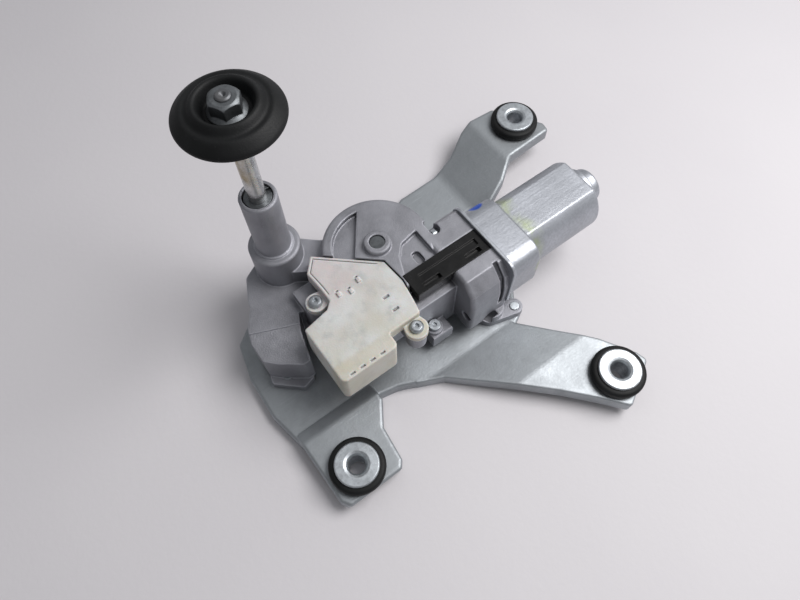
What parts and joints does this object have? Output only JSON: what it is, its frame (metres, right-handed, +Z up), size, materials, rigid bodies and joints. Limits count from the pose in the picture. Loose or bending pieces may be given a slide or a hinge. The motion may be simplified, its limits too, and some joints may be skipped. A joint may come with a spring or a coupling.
{
  "type": "windshield wiper motor assembly",
  "caption": "Rear windshield wiper gearmotor with a sealed output shaft, on a stamped bracket with rubber-mounted collars.",
  "frame": {"origin": "centre of the whole box in plan, at its lowest point, which is the bracket's lower rim", "axes": "+Z up along the output shaft, +X along the motor from the gearbox to the can's closed end"},
  "size_m": [0.2248, 0.1828, 0.1518],
  "materials": {
    "zinc_sheet": "satin zinc plate",
    "die_cast": "as-cast, matte",
    "steel": "bright steel",
    "can_steel": "satin plated steel",
    "rubber": "semi-matte",
    "white_plastic": "natural moulded",
    "black_plastic": "moulded",
    "brass": "bright",
    "bronze": "sintered",
    "copper": "bright",
    "ferrite": "fired",
    "carbon": "pressed"
  },
  "bodies": {
    "frame": {"bracket": "zinc_sheet", "gear_housing": "die_cast", "cover_plate": "steel", "cover_screws": "steel", "bracket_screws": "steel", "tower_washer": "steel", "upper_bush": "bronze", "lower_bush": "bronze", "thrust_washer": "steel", "axle_pin": "steel", "motor_can": "can_steel", "magnet_left": "ferrite", "magnet_right": "ferrite", "can_bush": "bronze", "worm_bush": "bronze", "middle_bush": "bronze", "thrust_piece": "steel", "brush_holder": "black_plastic", "brush_left": "carbon", "brush_right": "carbon", "brush_springs": "steel", "can_screws": "steel", "module_body": "white_plastic", "contact_board": "black_plastic", "contact_fingers": "brass", "connector_terminals": "brass", "module_screws": "steel", "ground_screw": "steel", "grommet_left": "rubber", "grommet_right": "rubber", "grommet_rear": "rubber", "collar_left": "steel", "collar_right": "steel", "collar_rear": "steel"},
    "output": {"output_shaft": "steel", "pinion": "steel", "shaft_circlip": "steel", "shaft_nut": "steel", "rubber_seal": "rubber"},
    "armature": {"armature_shaft": "steel", "armature_core": "steel", "windings": "copper", "commutator": "copper"},
    "wheel": {"worm_wheel": "white_plastic", "contact_disc": "brass", "crank_pin": "steel"},
    "link": {"link_plate": "steel", "sector_pin": "steel"},
    "arm": {"sector_arm": "steel"}
  },
  "joints": [
    {"name": "output_turn", "type": "hinge", "parent": "frame", "child": "output", "pos_m": [-0.06744, 0.06593, 0.093], "axis": [0, 0, 1], "range_deg": [0, 134.4]},
    {"name": "armature_spin", "type": "hinge", "parent": "frame", "child": "armature", "pos_m": [-0.02744, 0.00893, 0.036], "axis": [1, 0, 0], "continuous": true},
    {"name": "wheel_turn", "type": "hinge", "parent": "frame", "child": "wheel", "pos_m": [-0.02744, 0.03693, 0.036], "axis": [0, 0, 1], "continuous": true},
    {"name": "link_swing", "type": "hinge", "parent": "frame", "child": "link", "pos_m": [-0.06744, 0.06593, 0.021], "axis": [0, 0, 1], "range_deg": [0, 44.8]},
    {"name": "arm_turn", "type": "hinge", "parent": "link", "child": "arm", "pos_m": [-0.08192, 0.05378, 0.026], "axis": [0, 0, 1], "range_deg": [-44.8, 0]}
  ],
  "couplings": [
    {"joint": "wheel_turn", "follows": "armature_spin", "ratio": -0.02},
    {"joint": "link_swing", "follows": "output_turn", "ratio": 0.33333},
    {"joint": "arm_turn", "follows": "output_turn", "ratio": -0.33333}
  ]
}
